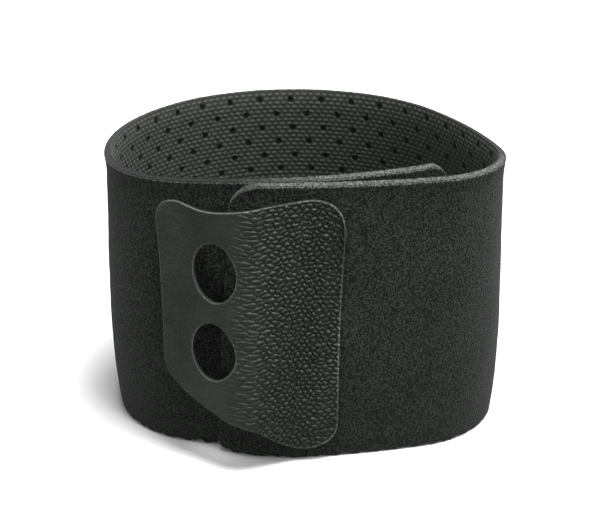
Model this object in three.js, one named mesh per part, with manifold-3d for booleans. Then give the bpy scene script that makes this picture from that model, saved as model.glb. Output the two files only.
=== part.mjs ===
// Wrap-around wrist band: a flat strip of perforated foam laminate, soft pile outside and
// embossed lining inside, rolled into an open loop whose ends overlap at the front. The outer
// end carries a strip of hook tape and a leather pull tab with two finger holes.
// Millimetres, +Z up, seen from the front along +Y. The band stands on its lower cut edge.

import * as THREE from 'three';
import { mergeVertices } from 'three/addons/utils/BufferGeometryUtils.js';
import Module from 'manifold-3d';

const wasm = await Module();
wasm.setup();

// ---- Driving dimensions ---------------------------------------------------------------------

const BAND_HEIGHT = 75;
const PILE_THICKNESS = 0.4;
const FOAM_THICKNESS = 1.2;
const LINING_THICKNESS = 0.4;
const LAYER_GAP = 0.2;            // bond line between two layers
const SKIN_SETBACK = 0.2;         // the skins stop just short of the foam's cut edges
const END_CORNER_RADIUS = 8;      // the strip's die-cut corners
const SHARP_CORNER_RADIUS = 1;    // the outer end's lower corner is cut nearly square

// The strip lies on a plan of tangent arcs, walked clockwise from the inner end. The upper and
// lower edges share the arc lengths and turn by different angles, so that the wall leans.
const PLAN_ARCS = [
  { name: 'inner end', length: 17.4, turnTop: 7.6, turnBottom: 20.4 },
  { name: 'inner front', length: 51.8, turnTop: 26.4, turnBottom: 33.1 },
  { name: 'left front', length: 19.5, turnTop: 46.8, turnBottom: 41.2 },
  { name: 'left bend', length: 9.9, turnTop: 24.5, turnBottom: 17.3 },
  { name: 'left side', length: 54.2, turnTop: 55.3, turnBottom: 65.8 },
  { name: 'back', length: 86, turnTop: 105.1, turnBottom: 94.6 },
  { name: 'right side', length: 37.6, turnTop: 18.9, turnBottom: 37.9 },
  { name: 'right bend', length: 33.7, turnTop: 89.2, turnBottom: 70 },
  { name: 'front right', length: 30.9, turnTop: 11.2, turnBottom: 7.8 },
  { name: 'front', length: 24, turnTop: 0, turnBottom: 36.8 },
];
const TOP_START = { x: 41.79, y: -19.6, heading: 207.91 };
const BOTTOM_START = { x: 40.4, y: -25.53, heading: 215.76 };
const WALL_SWELL = 1.39;          // how far the wall swells outwards, a third of the way up

// Where the strip flexes when the band is opened, measured along it from the inner end.
const INNER_END_LENGTH = 33;
const RIGHT_BEND_FLEX = 290;
const CLOSURE_LENGTH = 33;        // from the last flex line to the outer end
const FLEX_GAP = 0.5;

const HOOK_TAPE = { length: 26, height: 62, inset: 4, base: 0.35, hook: 0.3, rows: 9 };

// Pull tab: u runs along it from the line where it leaves the band, towards the bonded side.
const LEATHER_THICKNESS = 1.2;
const TAB_RELEASE = 22;           // from that line to the outer end of the strip
const TAB_FREE_LENGTH = 43.5;
const TAB_BONDED_LENGTH = 9.2;
// The free part stands out to a ridge, turns back and ends close to the band again.
const TAB_BEND = [
  { length: 4, turn: -25 },
  { length: 10.5, turn: 0 },
  { length: 7, turn: 63 },
  { length: 13, turn: 0 },
  { length: 5, turn: -36 },
  { length: 8, turn: 0 },
];
// Each short end is cut slightly hollow and a little askew, as a share of its distance.
const TAB_FREE_CUT = { hollow: 0.04, slant: 0.054 };
const TAB_BONDED_CUT = { hollow: 0.16, slant: -0.06 };
const FINGER_HOLE = { u: -27, width: 13, height: 15, low: 32.6, high: 53 };

const COLUMN_STEP = 4.5;
const TAB_COLUMN_STEP = 1.6;
const WALL_LEVELS = [0, 0.1, 0.22, 0.36, 0.55, 0.77, 1];    // closer together below, by the swell
const TAB_LEVELS = Array.from({ length: 13 }, (_, i) => i / 12);
const HOLE_SIDES = 28;

// ---- Finishes -------------------------------------------------------------------------------

const FINISHES = {
  pile: new THREE.MeshStandardMaterial({ color: 0x262829, roughness: 1.0, metalness: 0 }),
  foam: new THREE.MeshStandardMaterial({ color: 0x1c1d1e, roughness: 0.9, metalness: 0 }),
  lining: new THREE.MeshStandardMaterial({ color: 0x2b2e2f, roughness: 0.8, metalness: 0 }),
  hook: new THREE.MeshStandardMaterial({ color: 0x161717, roughness: 0.5, metalness: 0 }),
  leather: new THREE.MeshStandardMaterial({ color: 0x1e1f1f, roughness: 0.55, metalness: 0 }),
};

// ---- Plan curves ----------------------------------------------------------------------------

const radians = THREE.MathUtils.degToRad;
const STRIP_LENGTH = PLAN_ARCS.reduce((sum, arc) => sum + arc.length, 0);

/** Moves a point along an arc; a positive turn is clockwise. */
function advance(point, length, turn) {
  const chord = Math.abs(turn) < 1e-9 ? length : (2 * length * Math.sin(turn / 2)) / turn;
  const middle = point.heading - turn / 2;
  return {
    x: point.x + chord * Math.cos(middle),
    y: point.y + chord * Math.sin(middle),
    heading: point.heading - turn,
  };
}

/** The point at a distance along a chain of arcs. */
function walk(start, arcs, distance) {
  let point = start;
  let left = distance;
  for (const arc of arcs) {
    const step = Math.min(left, arc.length);
    point = advance(point, step, (arc.turn * step) / arc.length);
    left -= step;
    if (left <= 0) break;
  }
  return point;
}

function planOf(start, turnName) {
  const first = { x: start.x, y: start.y, heading: radians(start.heading) };
  const arcs = PLAN_ARCS.map((arc) => ({ length: arc.length, turn: radians(arc[turnName]) }));
  return (s) => walk(first, arcs, s);
}

const planTop = planOf(TOP_START, 'turnTop');
const planBottom = planOf(BOTTOM_START, 'turnBottom');

/** Steps sideways from a plan point; positive is outwards. */
function sideways(point, offset) {
  return {
    x: point.x - offset * Math.sin(point.heading),
    y: point.y + offset * Math.cos(point.heading),
    heading: point.heading,
  };
}

/** The wall's swell at height z: none at either edge, most a third of the way up. */
function swell(z) {
  const t = z / BAND_HEIGHT;
  return WALL_SWELL * 6.75 * t * (1 - t) ** 2;
}

/** A point between a lower and an upper plan point, at height z, stepped outwards from both. */
function onWall(bottom, top, z, offset) {
  const t = z / BAND_HEIGHT;
  const low = sideways(bottom, offset + swell(z));
  const high = sideways(top, offset + swell(z));
  return [THREE.MathUtils.lerp(low.x, high.x, t), THREE.MathUtils.lerp(low.y, high.y, t), z];
}

/** A point of the strip: s along it, z up, offset outwards from the middle of its thickness. */
function stripPoint(s, z, offset) {
  return onWall(planBottom(s), planTop(s), z, offset);
}

// ---- Sheets ---------------------------------------------------------------------------------

/** Distances from one end to the other, closer together where an end has rounded corners. */
function stationsBetween(from, to, roundFrom, roundTo, step = COLUMN_STEP) {
  const corner = (radius) => [0, 1, 2, 3, 4].map((i) => radius * (1 - Math.cos((i * Math.PI) / 8)));
  const start = roundFrom ? corner(roundFrom).map((d) => from + d) : [from];
  const end = roundTo ? corner(roundTo).map((d) => to - d).reverse() : [to];
  const first = start[start.length - 1];
  const count = Math.max(1, Math.round((end[0] - first) / step));
  const middle = [];
  for (let i = 1; i < count; i++) middle.push(first + ((end[0] - first) * i) / count);
  return [...start, ...middle, ...end];
}

/**
 * A closed sheet over a grid of stations and levels. place(s, z, offset) says where a corner
 * goes, heights(s) gives the sheet's lowest and highest z, levels are shares of the way between
 * them, and the two faces lie at the two offsets. The inner offset may be a list with one value
 * for each station.
 */
function sheet(stations, levels, place, heights, innerOffset, outerOffset) {
  const rows = levels.length - 1;
  const points = [];
  for (const face of [innerOffset, outerOffset]) {
    stations.forEach((s, i) => {
      const offset = Array.isArray(face) ? face[i] : face;
      const [low, high] = heights(s);
      for (const level of levels) {
        points.push(...place(s, THREE.MathUtils.lerp(low, high, level), offset));
      }
    });
  }
  const columns = stations.length - 1;
  const at = (side, i, j) => (side * (columns + 1) + i) * (rows + 1) + j;
  const faces = [];
  const quad = (a, b, c, d) => faces.push(a, b, c, a, c, d);
  for (let i = 0; i < columns; i++) {
    for (let j = 0; j < rows; j++) {
      quad(at(0, i, j), at(0, i + 1, j), at(0, i + 1, j + 1), at(0, i, j + 1));
      faces.push(at(1, i, j), at(1, i + 1, j + 1), at(1, i + 1, j));
      faces.push(at(1, i, j), at(1, i, j + 1), at(1, i + 1, j + 1));
    }
    quad(at(0, i, 0), at(1, i, 0), at(1, i + 1, 0), at(0, i + 1, 0));
    quad(at(0, i, rows), at(0, i + 1, rows), at(1, i + 1, rows), at(1, i, rows));
  }
  for (let j = 0; j < rows; j++) {
    quad(at(0, 0, j), at(0, 0, j + 1), at(1, 0, j + 1), at(1, 0, j));
    quad(at(0, columns, j), at(1, columns, j), at(1, columns, j + 1), at(0, columns, j + 1));
  }
  const geometry = new THREE.BufferGeometry();
  geometry.setAttribute('position', new THREE.Float32BufferAttribute(points, 3));
  geometry.setIndex(faces);
  return geometry;
}

/** How far a rounded corner draws an edge in, at a distance from the end. */
function drawnIn(radius, fromEnd) {
  const reach = Math.max(0, radius - fromEnd);
  return radius - Math.sqrt(radius ** 2 - reach ** 2);
}

/** The strip's height range, drawn in by its die-cut corners and by a setback. */
function stripHeights(setback) {
  return (s) => {
    const toEnd = STRIP_LENGTH - s;
    const upper = drawnIn(END_CORNER_RADIUS, Math.min(s, toEnd));
    const lower = drawnIn(END_CORNER_RADIUS, s) + drawnIn(SHARP_CORNER_RADIUS, toEnd);
    return [lower + setback, BAND_HEIGHT - upper - setback];
  };
}

const LAYERS = {
  lining: {
    inner: -FOAM_THICKNESS / 2 - LAYER_GAP - LINING_THICKNESS,
    outer: -FOAM_THICKNESS / 2 - LAYER_GAP,
    setback: SKIN_SETBACK,
  },
  foam: { inner: -FOAM_THICKNESS / 2, outer: FOAM_THICKNESS / 2, setback: 0 },
  pile: {
    inner: FOAM_THICKNESS / 2 + LAYER_GAP,
    outer: FOAM_THICKNESS / 2 + LAYER_GAP + PILE_THICKNESS,
    setback: SKIN_SETBACK,
  },
};
const LINING_FACE = LAYERS.lining.inner;
const PILE_FACE = LAYERS.pile.outer;

function named(name, geometry, finish) {
  geometry.computeVertexNormals();
  const mesh = new THREE.Mesh(geometry, FINISHES[finish]);
  mesh.name = name;
  return mesh;
}

/** The three bonded layers of one stretch of the strip. */
function laminate(prefix, from, to, roundFrom, roundTo) {
  const group = new THREE.Group();
  for (const [finish, layer] of Object.entries(LAYERS)) {
    const start = from + (roundFrom ? layer.setback : 0);
    const end = to - (roundTo ? layer.setback : 0);
    const stations = stationsBetween(start, end, roundFrom, roundTo);
    const geometry = sheet(
      stations, WALL_LEVELS, stripPoint, stripHeights(layer.setback), layer.inner, layer.outer,
    );
    group.add(named(`${prefix}_${finish}`, geometry, finish));
  }
  return group;
}

// ---- Hook tape ------------------------------------------------------------------------------

/** A moulded tape under the outer end: a thin base with rows of hooks standing inwards. */
function hookTape() {
  const end = STRIP_LENGTH - HOOK_TAPE.inset;
  const start = end - HOOK_TAPE.length;
  const low = (BAND_HEIGHT - HOOK_TAPE.height) / 2;
  const heights = () => [low, low + HOOK_TAPE.height];
  const back = LINING_FACE - LAYER_GAP;
  const face = back - HOOK_TAPE.base;
  const crest = face - HOOK_TAPE.hook;
  const pitch = HOOK_TAPE.length / HOOK_TAPE.rows;
  const stations = [start];
  const inner = [face];
  for (let row = 0; row < HOOK_TAPE.rows; row++) {
    const middle = start + (row + 0.5) * pitch;
    const foot = pitch * 0.3;
    const tip = pitch * 0.22;
    stations.push(middle - foot, middle - tip, middle + tip, middle + foot);
    inner.push(face, crest, crest, face);
  }
  stations.push(end);
  inner.push(face);
  const tape = sheet(stations, WALL_LEVELS, stripPoint, heights, inner, back);
  return named('hook_tape', tape, 'hook');
}

// ---- Pull tab -------------------------------------------------------------------------------

const RELEASE_AT = STRIP_LENGTH - TAB_RELEASE;
const TAB_MIDDLE = PILE_FACE + LAYER_GAP + LEATHER_THICKNESS / 2;
const BEND_ARCS = TAB_BEND.map((arc) => ({ length: arc.length, turn: radians(arc.turn) }));

/** The tab's plan point: on the band where it is bonded, on its own bend where it is free. */
function tabPlan(plan, u) {
  if (u >= 0) return sideways(plan(RELEASE_AT - u), TAB_MIDDLE);
  return walk(sideways(plan(RELEASE_AT), TAB_MIDDLE), BEND_ARCS, -u);
}

function tabPoint(u, z, offset) {
  const level = (2 * z) / BAND_HEIGHT - 1;
  const cut = u < 0 ? TAB_FREE_CUT : TAB_BONDED_CUT;
  const along = u * (1 - cut.hollow * (1 - level * level) + cut.slant * level);
  return onWall(tabPlan(planBottom, along), tabPlan(planTop, along), z, offset);
}

/** The die-cut outline: a nearly level top edge, and a bottom edge that climbs to the free end. */
function tabOutline() {
  const left = -TAB_FREE_LENGTH;
  const right = TAB_BONDED_LENGTH;
  const outline = new THREE.Shape();
  outline.moveTo(left, 30);
  outline.lineTo(left, 64.5);
  outline.bezierCurveTo(left, 68.6, -41.2, 70.6, -37.6, 69.6);
  outline.bezierCurveTo(-33.6, 67.7, -29.6, 67.8, -25, 68.7);
  outline.bezierCurveTo(-19.4, 69.8, -16.6, 71, -11.4, 70.9);
  outline.lineTo(-1, 71);
  outline.bezierCurveTo(4.4, 70.8, right, 68.2, right, 60);
  outline.lineTo(right, 12);
  outline.bezierCurveTo(right, 5.8, 5, 3.7, 0.3, 3.7);
  outline.bezierCurveTo(-3.9, 3.7, -9.4, 8, -15, 11.5);
  outline.bezierCurveTo(-21.4, 15.5, -29, 16.4, -35.6, 19.8);
  outline.bezierCurveTo(-40.8, 22.2, left, 24.6, left, 30);
  return outline.getPoints(10);
}

const TAB_OUTLINE = tabOutline();

/** Lowest and highest z of the tab's outline at one u. */
function tabHeights(u) {
  const crossings = [];
  TAB_OUTLINE.forEach((a, i) => {
    const b = TAB_OUTLINE[(i + 1) % TAB_OUTLINE.length];
    if (Math.abs(a.x - b.x) < 1e-9) {
      if (Math.abs(u - a.x) < 1e-9) crossings.push(a.y, b.y);
      return;
    }
    const t = (u - a.x) / (b.x - a.x);
    if (t >= -1e-9 && t <= 1 + 1e-9) crossings.push(THREE.MathUtils.lerp(a.y, b.y, t));
  });
  return [Math.min(...crossings), Math.max(...crossings)];
}

function tabSheet(from, to, roundFrom, roundTo) {
  const stations = stationsBetween(from, to, roundFrom, roundTo, TAB_COLUMN_STEP);
  const half = LEATHER_THICKNESS / 2;
  // u runs against the strip's own direction, so the sheet is laid out along -u
  const mirrored = stations.map((u) => -u).reverse();
  const place = (v, z, offset) => tabPoint(-v, z, offset);
  const heights = (v) => tabHeights(-v);
  return sheet(mirrored, TAB_LEVELS, place, heights, -half, half);
}

/** An oval punch through the free part, square to the leather at the middle of the hole. */
function punch(z) {
  const middle = new THREE.Vector3(...tabPoint(FINGER_HOLE.u, z, 0));
  const outer = new THREE.Vector3(...tabPoint(FINGER_HOLE.u, z, 1));
  const along = new THREE.Vector3(...tabPoint(FINGER_HOLE.u + 1, z, 0)).sub(middle).normalize();
  const outwards = outer.sub(middle).normalize();
  const upwards = new THREE.Vector3().crossVectors(outwards, along).normalize();
  const oval = new THREE.Shape();
  oval.absellipse(0, 0, FINGER_HOLE.width / 2, FINGER_HOLE.height / 2, 0, 2 * Math.PI);
  const depth = 6 * LEATHER_THICKNESS;
  const cutter = new THREE.ExtrudeGeometry(oval, {
    depth, bevelEnabled: false, curveSegments: HOLE_SIDES,
  });
  cutter.translate(0, 0, -depth / 2);
  cutter.applyMatrix4(new THREE.Matrix4().makeBasis(along, upwards, outwards).setPosition(middle));
  return cutter;
}

function pullTab() {
  const free = manifoldOf(tabSheet(-TAB_FREE_LENGTH, -FLEX_GAP / 2, 6, 0));
  const punched = [FINGER_HOLE.low, FINGER_HOLE.high].reduce(
    (solid, z) => solid.subtract(manifoldOf(punch(z))), free,
  );
  return named('pull_tab_leather', geometryOf(punched), 'leather');
}

function tabRoot() {
  return named('tab_root_leather', tabSheet(FLEX_GAP / 2, TAB_BONDED_LENGTH, 0, 8), 'leather');
}

// ---- Boolean helpers ------------------------------------------------------------------------

function manifoldOf(geometry) {
  const bare = geometry.clone();
  bare.deleteAttribute('normal');
  bare.deleteAttribute('uv');
  const merged = mergeVertices(bare, 1e-5);
  return new wasm.Manifold(new wasm.Mesh({
    numProp: 3,
    vertProperties: new Float32Array(merged.attributes.position.array),
    triVerts: new Uint32Array(merged.index.array),
  }));
}

function geometryOf(solid) {
  const { numProp, vertProperties, triVerts } = solid.getMesh();
  const points = [];
  for (let i = 0; i < vertProperties.length; i += numProp) {
    points.push(vertProperties[i], vertProperties[i + 1], vertProperties[i + 2]);
  }
  const geometry = new THREE.BufferGeometry();
  geometry.setAttribute('position', new THREE.Float32BufferAttribute(points, 3));
  geometry.setIndex(Array.from(triVerts));
  return geometry;
}

// ---- Assembly -------------------------------------------------------------------------------

const CLOSURE_AT = STRIP_LENGTH - CLOSURE_LENGTH;
const halfGap = FLEX_GAP / 2;

const band = new THREE.Group();
band.add(
  laminate('inner_end', 0, INNER_END_LENGTH - halfGap, END_CORNER_RADIUS, 0),
  laminate('band', INNER_END_LENGTH + halfGap, RIGHT_BEND_FLEX - halfGap, 0, 0),
  laminate('front_panel', RIGHT_BEND_FLEX + halfGap, CLOSURE_AT - halfGap, 0, 0),
  laminate('closure_end', CLOSURE_AT + halfGap, STRIP_LENGTH, 0, END_CORNER_RADIUS),
  hookTape(),
  tabRoot(),
  pullTab(),
);

// The origin is the middle of the footprint.
const box = new THREE.Box3().setFromObject(band);
const middle = box.getCenter(new THREE.Vector3());
band.position.set(-middle.x, -middle.y, 0);

/**
 * The line that a stretch bends about. It is straight, so it lies on the inner face's upper and
 * lower edges where the stretch bends inwards, and outside the swell where it bends outwards.
 */
function flexLine(place, s, offset) {
  const shift = ([x, y, z]) => [x - middle.x, y - middle.y, z];
  return { low: shift(place(s, 0, offset)), high: shift(place(s, BAND_HEIGHT, offset)) };
}

band.userData.flexLines = {
  inner_end: flexLine(stripPoint, INNER_END_LENGTH, LINING_FACE),
  front_panel: flexLine(stripPoint, RIGHT_BEND_FLEX, PILE_FACE + WALL_SWELL),
  closure_end: flexLine(stripPoint, CLOSURE_AT, PILE_FACE + WALL_SWELL),
  pull_tab: flexLine(tabPoint, 0, LEATHER_THICKNESS / 2 + WALL_SWELL),
};

export default band;
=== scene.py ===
# %% [markdown]
# # A wrap-around wrist strap
#
# The real strap is a flat strip of black laminate, 365 by 75 mm: a napped knit outside, foam
# rubber in the middle and an embossed, perforated knit inside. It is rolled into a loop whose
# ends overlap at the front, and a leather tab with two finger holes is bonded to the outer end.
# This file dresses a packed CAD model of it. The CAD sets every size and every joint, so the
# first step is to load that frame.

import math

import bpy
import numpy as np
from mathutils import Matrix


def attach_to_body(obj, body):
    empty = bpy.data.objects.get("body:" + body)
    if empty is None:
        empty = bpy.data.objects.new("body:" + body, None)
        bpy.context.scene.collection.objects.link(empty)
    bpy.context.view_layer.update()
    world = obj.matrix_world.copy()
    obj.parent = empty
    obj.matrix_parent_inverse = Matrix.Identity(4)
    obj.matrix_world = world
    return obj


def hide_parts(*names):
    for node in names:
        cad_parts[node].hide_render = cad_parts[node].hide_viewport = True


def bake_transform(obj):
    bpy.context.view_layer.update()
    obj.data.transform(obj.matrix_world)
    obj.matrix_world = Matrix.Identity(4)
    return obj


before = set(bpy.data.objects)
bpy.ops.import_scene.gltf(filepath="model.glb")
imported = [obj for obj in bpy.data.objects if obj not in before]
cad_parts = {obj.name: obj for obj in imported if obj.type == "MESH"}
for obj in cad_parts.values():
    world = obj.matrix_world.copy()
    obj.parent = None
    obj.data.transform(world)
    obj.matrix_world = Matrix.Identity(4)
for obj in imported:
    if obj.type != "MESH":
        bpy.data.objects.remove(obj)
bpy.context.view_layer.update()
print("CAD nodes:", sorted(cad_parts))

# %% [markdown]
# ## The plan of the loop
#
# Seen from above, the loop is a chain of arcs that join without a kink. The upper and the lower
# edge follow chains of the same lengths that turn by different amounts, so the wall leans in and
# out while the strip stays flat cloth. These are the CAD model's numbers, in millimetres and
# degrees. A chain of arcs was chosen over a spline because each arc has a length and a
# radius that a maker could measure. Between the edges the wall swells outwards a little, as
# cloth pressed by a hand does, and its cut upper rim curls out.

# %% Plan numbers
BAND_HEIGHT = 75.0
ARC_LENGTHS = np.array([17.4, 51.8, 19.5, 9.9, 54.2, 86, 37.6, 33.7, 30.9, 24])
TURNS_TOP = np.radians([7.6, 26.4, 46.8, 24.5, 55.3, 105.1, 18.9, 89.2, 11.2, 0])
TURNS_BOTTOM = np.radians([20.4, 33.1, 41.2, 17.3, 65.8, 94.6, 37.9, 70, 7.8, 36.8])
TOP_START = (41.79, -19.6, math.radians(207.91))
BOTTOM_START = (40.4, -25.53, math.radians(215.76))
WALL_SWELL = 1.39
FLARE = 0.65
FLARE_HEIGHT = 6.0
FOOTPRINT_MIDDLE = (4.9373, 0.2248)
STRIP_LENGTH = ARC_LENGTHS.sum()
print("strip length", STRIP_LENGTH, "mm")

# %% [markdown]
# ### Points of the wall
#
# Everything on the strap is placed by how far along the strip it is, how high up, and how far
# out from the laminate's middle. These functions turn the three numbers into a point. They take
# whole arrays, so a sheet of any size is placed in one call, without a loop over its points.


# %% Walk along a chain of arcs
def walk(start, lengths, turns, distance):
    """Plan point and heading at each distance along a chain of arcs.

    Inside an arc of length L that turns clockwise by T, a run d turns by t = T * d / L. Its
    chord is d * sin(t / 2) / (t / 2) long and points along the heading less t / 2.
    start is (x, y, heading), each a number or an array that goes with distance.
    """
    x, y, heading = (np.broadcast_to(v, distance.shape).copy() for v in start)
    left = distance.copy()
    for length, turn in zip(lengths, turns):
        run = np.clip(left, 0, length)
        t = turn * run / length
        chord = run * np.sinc(t / (2 * np.pi))
        x += chord * np.cos(heading - t / 2)
        y += chord * np.sin(heading - t / 2)
        heading -= t
        left -= run
    return x, y, heading


def sideways(point, offset):
    """The plan point moved by offset to the outside: at right angles to the heading."""
    x, y, heading = point
    return x - offset * np.sin(heading), y + offset * np.cos(heading), heading


def on_wall(bottom, top, z, offset):
    """Points between the lower and the upper plan points, in metres, offset outwards.

    The wall swells by 27/4 * WALL_SWELL * t * (1 - t)^2, which is none at both edges and peaks at
    WALL_SWELL a third of the way up, at t = 1/3.
    """
    t = z / BAND_HEIGHT
    out = offset + 6.75 * WALL_SWELL * t * (1 - t) ** 2
    bottom = sideways(bottom, out)
    top = sideways(top, out)
    x = bottom[0] + (top[0] - bottom[0]) * t - FOOTPRINT_MIDDLE[0]
    y = bottom[1] + (top[1] - bottom[1]) * t - FOOTPRINT_MIDDLE[1]
    return np.stack([x, y, z], -1) / 1000


def strip_point(s, z, offset):
    """The laminate at s along the strip, z up and offset outwards from its middle.

    The last FLARE_HEIGHT under the upper rim curls out along a parabola, by FLARE at the rim.
    """
    s, z, offset = np.broadcast_arrays(np.asarray(s, float), z, offset)
    offset = offset + FLARE * np.clip(1 - (BAND_HEIGHT - z) / FLARE_HEIGHT, 0, 1) ** 2
    bottom = walk(BOTTOM_START, ARC_LENGTHS, TURNS_BOTTOM, s)
    top = walk(TOP_START, ARC_LENGTHS, TURNS_TOP, s)
    return on_wall(bottom, top, z, offset)


print("upper corner of the outer end:", strip_point(STRIP_LENGTH, BAND_HEIGHT, 0.0).round(4))

# %% [markdown]
# ## Camera
#
# The camera stands where the photographer's did. Its place and lens were worked out from the
# outlines of the loop's upper and lower edges in the photo. It comes before the pieces so that
# every later step can be judged through it.

# %% Camera
camera_data = bpy.data.cameras.new("camera")
camera_data.sensor_width = 36.0
camera_data.lens = 89.63
camera = bpy.data.objects.new("camera", camera_data)
camera.location = (-0.00065, -0.39030, 0.19538)
camera.rotation_euler = (math.radians(67.964), 0.0, 0.0)
bpy.context.scene.collection.objects.link(camera)
bpy.context.scene.camera = camera
print("camera:", [round(v, 4) for v in camera.location], "lens", camera_data.lens, "mm")

# %% [markdown]
# ## Light, floor and background
#
# The photo is a plain product shot: a white ground and large soft lamps. The cut rim and the
# upper sides of the leather's pebbles are bright and the tab throws its shade to the left, so
# the main lamp hangs nearly overhead, a little to the right. A weak one from the right lights
# the inside of the left-hand wall, and a low one from the left front keeps the outside there
# from going black. An even white world fills the rest.


# %% Lamps and world
def lamp(name, place, aim, size, power):
    """A square area lamp at place that looks at aim: its -Z axis points along the difference."""
    data = bpy.data.lights.new(name, "AREA")
    data.shape = "SQUARE"
    data.size = size
    data.energy = power
    made = bpy.data.objects.new(name, data)
    made.location = place
    direction = np.array(aim) - np.array(place)
    yaw = math.atan2(direction[1], direction[0]) - math.pi / 2
    pitch = math.atan2(math.hypot(direction[0], direction[1]), -direction[2])
    made.rotation_euler = (pitch, 0.0, yaw)
    bpy.context.scene.collection.objects.link(made)


WORLD_LIGHT = 0.24
STRAP_MIDDLE = (0.0, 0.0, 0.04)
lamp("key_lamp", (0.85, -0.65, 0.8), STRAP_MIDDLE, 0.7, 3.5)
lamp("fill_lamp", (-0.85, -0.95, 0.24), STRAP_MIDDLE, 0.5, 3.0)
lamp("top_lamp", (0.2, -0.14, 1.25), STRAP_MIDDLE, 0.6, 32.0)

world = bpy.data.worlds.new("studio")
world.use_nodes = True
background = world.node_tree.nodes["Background"]
background.inputs["Color"].default_value = (1.0, 1.0, 1.0, 1.0)
bpy.context.scene.world = world
bpy.context.scene.view_settings.view_transform = "Standard"

# %% [markdown]
# ## Materials as arithmetic
#
# Every finish here is a small graph of nodes. Wrapping a socket in a class with + - * / makes
# the graph read like the formula that it is. One method adds any other node.


# %% A socket that takes part in arithmetic
class Signal:
    """One output socket of a material's nodes, with operators that add Math nodes."""

    def __init__(self, material, socket):
        self.material = material
        self.socket = socket

    def node(self, kind, settings=None, inputs=None, output=0):
        """Adds a node of any kind: settings first, then its inputs' values or links."""
        made = self.material.node_tree.nodes.new(kind)
        for key, value in (settings or {}).items():
            setattr(made, key, value)
        for key, value in (inputs or {}).items():
            if isinstance(value, Signal):
                self.material.node_tree.links.new(value.socket, made.inputs[key])
            else:
                made.inputs[key].default_value = value
        return Signal(self.material, made.outputs[output])

    def maths(self, operation, a, b=0.0):
        return self.node("ShaderNodeMath", {"operation": operation}, {0: a, 1: b})

    def __add__(self, other):
        return self.maths("ADD", self, other)

    def __sub__(self, other):
        return self.maths("SUBTRACT", self, other)

    def __rsub__(self, other):
        return self.maths("SUBTRACT", other, self)

    def __mul__(self, other):
        return self.maths("MULTIPLY", self, other)

    __radd__ = __add__
    __rmul__ = __mul__

    def noise(self, size, detail=2.0, roughness=0.5):
        """Cloudy noise in which a lump is about size metres wide, from 0 to 1."""
        values = {"Vector": self, "Scale": 1 / size, "Detail": detail, "Roughness": roughness}
        return self.node("ShaderNodeTexNoise", {}, values)

    def rise(self, low, high):
        """0 below low, 1 above high and smooth between."""
        values = {"Value": self, "From Min": low, "From Max": high}
        return self.node("ShaderNodeMapRange", {"interpolation_type": "SMOOTHSTEP"}, values)

    def between(self, first, second):
        """A mix of two colours or colour signals: first where the signal is 0, second at 1."""
        # a Mix node has sockets for every kind of data; 0, 6, 7 and output 2 are the colour's
        return self.node("ShaderNodeMix", {"data_type": "RGBA"}, {0: self, 6: first, 7: second}, 2)


print("reflected operators:", [name for name in vars(Signal) if name.startswith("__r")])

# %% [markdown]
# ### Starting a material
#
# All finishes start from the Principled shader and the object's own coordinates, so a pattern
# stays on its cloth when the strap moves. Only what varies over a surface gets nodes. All else
# is a plain number on the shader, because an image would have to be painted and unwrapped.


# %% Material helpers
def grey(value, green=1.2):
    """A linear colour close to grey; the strap's blacks lean slightly to green."""
    return (value, value * green, value, 1.0)


def start_material(name, roughness, sheen, specular):
    """A Principled material; returns it, its shader and its Object coordinates as a signal.

    The white surroundings lay a veil on every black surface that grows with its specular
    level, so cloth and leather have a low one.
    """
    material = bpy.data.materials.new(name)
    material.use_nodes = True
    shader = material.node_tree.nodes["Principled BSDF"]
    shader.inputs["Roughness"].default_value = roughness
    shader.inputs["Sheen Weight"].default_value = sheen
    shader.inputs["Sheen Roughness"].default_value = 0.6
    shader.inputs["Specular IOR Level"].default_value = specular
    coordinates = material.node_tree.nodes.new("ShaderNodeTexCoord")
    return material, shader, Signal(material, coordinates.outputs["Object"])


def feed(material, signal, shader, name):
    """Links a signal to one of the shader's inputs."""
    material.node_tree.links.new(signal.socket, shader.inputs[name])


def attribute(material, name):
    """A value that was stored on the mesh's points, as a signal."""
    made = material.node_tree.nodes.new("ShaderNodeAttribute")
    made.attribute_name = name
    return Signal(material, made.outputs["Fac"])


def bump(signal, height, strength=1.0):
    """A Bump node in which a signal of 1 stands height metres proud."""
    values = {"Strength": strength, "Distance": height, "Height": signal}
    return signal.node("ShaderNodeBump", {}, values)


def report(material):
    """Prints how large a finish has become."""
    print(f"{material.name}: {len(material.node_tree.nodes)} nodes")


# %% [markdown]
# ### White where it is seen
#
# A white ground that lit the strap with all its strength would turn the blacks grey. So the
# world and the floor are white for the camera, in mirror images and through glass, and darker
# for the light that they send. The rays' own kind tells the two apart.


# %% Background
def seen_rays(signal):
    """1 for rays from the camera, in mirrors and through glass; 0 for light on its way."""
    camera_ray = signal.node("ShaderNodeLightPath", output="Is Camera Ray")
    glossy_ray = signal.node("ShaderNodeLightPath", output="Is Glossy Ray")
    clear_ray = signal.node("ShaderNodeLightPath", output="Is Transmission Ray")
    return camera_ray.maths("MINIMUM", camera_ray + glossy_ray + clear_ray, 1.0)


sky = Signal(world, background.outputs["Background"])
strength = WORLD_LIGHT + seen_rays(sky) * (1.0 - WORLD_LIGHT)
world.node_tree.links.new(strength.socket, background.inputs["Strength"])
print("world strength:", WORLD_LIGHT, "for light, 1 where it is seen")
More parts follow.
